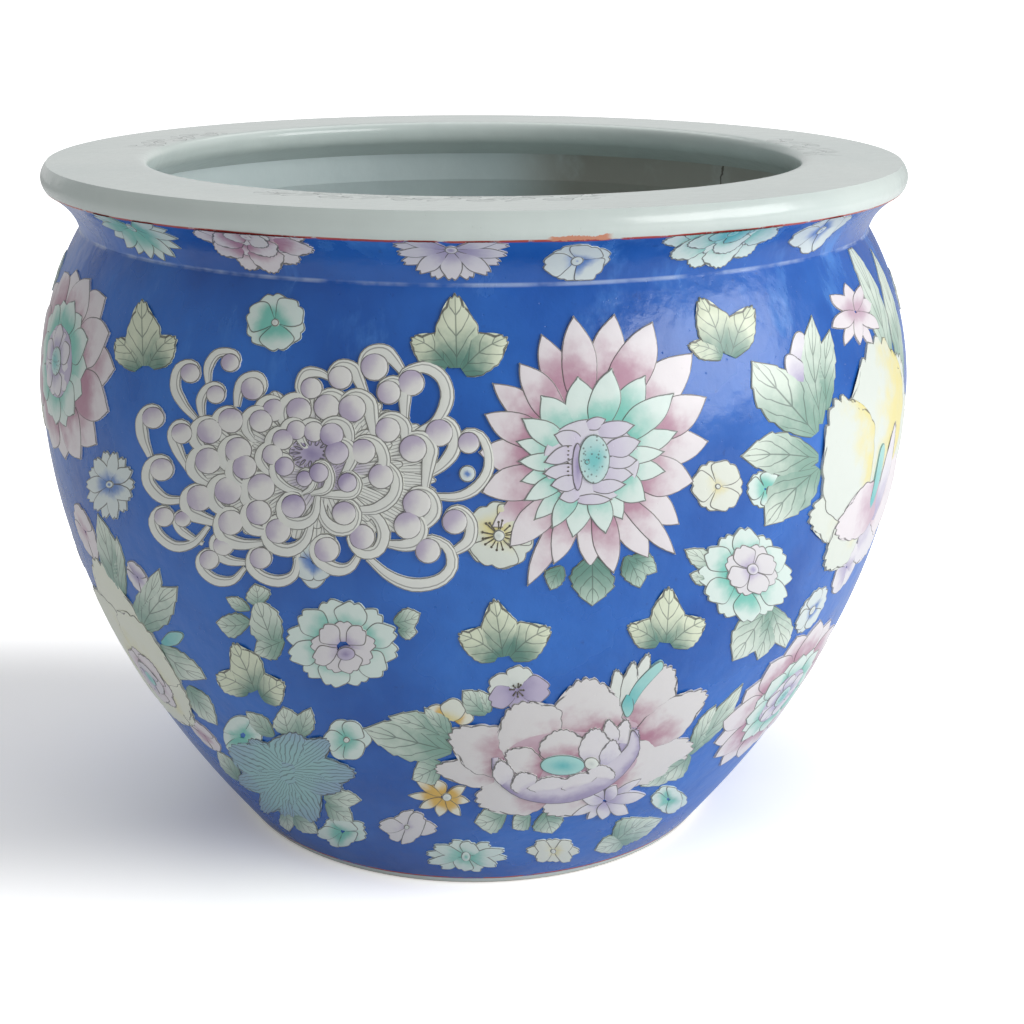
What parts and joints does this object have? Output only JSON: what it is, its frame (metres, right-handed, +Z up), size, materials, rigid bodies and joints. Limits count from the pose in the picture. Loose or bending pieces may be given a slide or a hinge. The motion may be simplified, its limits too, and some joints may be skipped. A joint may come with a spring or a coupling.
{
  "type": "porcelain fish bowl jardiniere",
  "caption": "Large round porcelain fish bowl planter with a flat rim, blue ground and applied relief blossoms in pastel enamels.",
  "frame": {"origin": "centre of the foot ring's resting plane, on the bowl's axis", "axes": "+Z up along the bowl's axis, -Y the side with the full set of blossoms"},
  "size_m": [0.4734, 0.4754, 0.368],
  "materials": {
    "bare_porcelain": "unglazed, matt, a little stained",
    "pale_glaze": "glossy pale celadon glaze with worn sprays on the rim",
    "blue_glaze": "satin gloss blue enamel ground",
    "leaf_enamel": "matt pale green enamel with dark veins",
    "mint_enamel": "pale mint enamel shaded to turquoise",
    "rose_enamel": "off-white enamel shaded to rose",
    "lilac_enamel": "off-white enamel shaded to lilac",
    "yellow_enamel": "off-white enamel shaded to yellow"
  },
  "bodies": {
    "root": {"foot_ring": "bare_porcelain", "base_disc": "pale_glaze", "lower_wall": "blue_glaze", "belly_wall": "blue_glaze", "shoulder_wall": "blue_glaze", "neck_flare": "blue_glaze", "rim_flange": "pale_glaze", "chrysanthemum_front": "lilac_enamel", "lotus_front": "rose_enamel", "pink_peony_front": "rose_enamel", "right_peony_front": "yellow_enamel", "left_peony_front": "yellow_enamel", "edge_lotus_front": "rose_enamel", "corner_lotus_front": "rose_enamel", "right_daisy_front": "mint_enamel", "left_daisy_front": "mint_enamel", "veined_bloom_front": "lilac_enamel", "chrysanthemum_back": "lilac_enamel", "lotus_back": "rose_enamel", "pink_peony_back": "rose_enamel", "right_peony_back": "yellow_enamel", "left_peony_back": "yellow_enamel", "edge_lotus_back": "rose_enamel", "corner_lotus_back": "rose_enamel", "right_daisy_back": "mint_enamel", "left_daisy_back": "mint_enamel", "veined_bloom_back": "lilac_enamel", "trefoil_left": "leaf_enamel", "trefoil_middle": "leaf_enamel", "trefoil_right": "leaf_enamel", "trefoil_under_lotus": "leaf_enamel", "trefoil_under_daisy": "leaf_enamel", "trefoil_low": "leaf_enamel", "mint_blossom": "mint_enamel", "oval_daisy": "lilac_enamel", "pale_blossom": "yellow_enamel", "yellow_star": "yellow_enamel", "low_daisy": "mint_enamel", "neck_green_blossom": "mint_enamel", "neck_pink_blossom": "rose_enamel", "neck_lilac_blossom": "lilac_enamel", "neck_white_blossom": "lilac_enamel", "neck_mint_blossom": "mint_enamel", "neck_right_blossom": "lilac_enamel"}
  },
  "joints": []
}
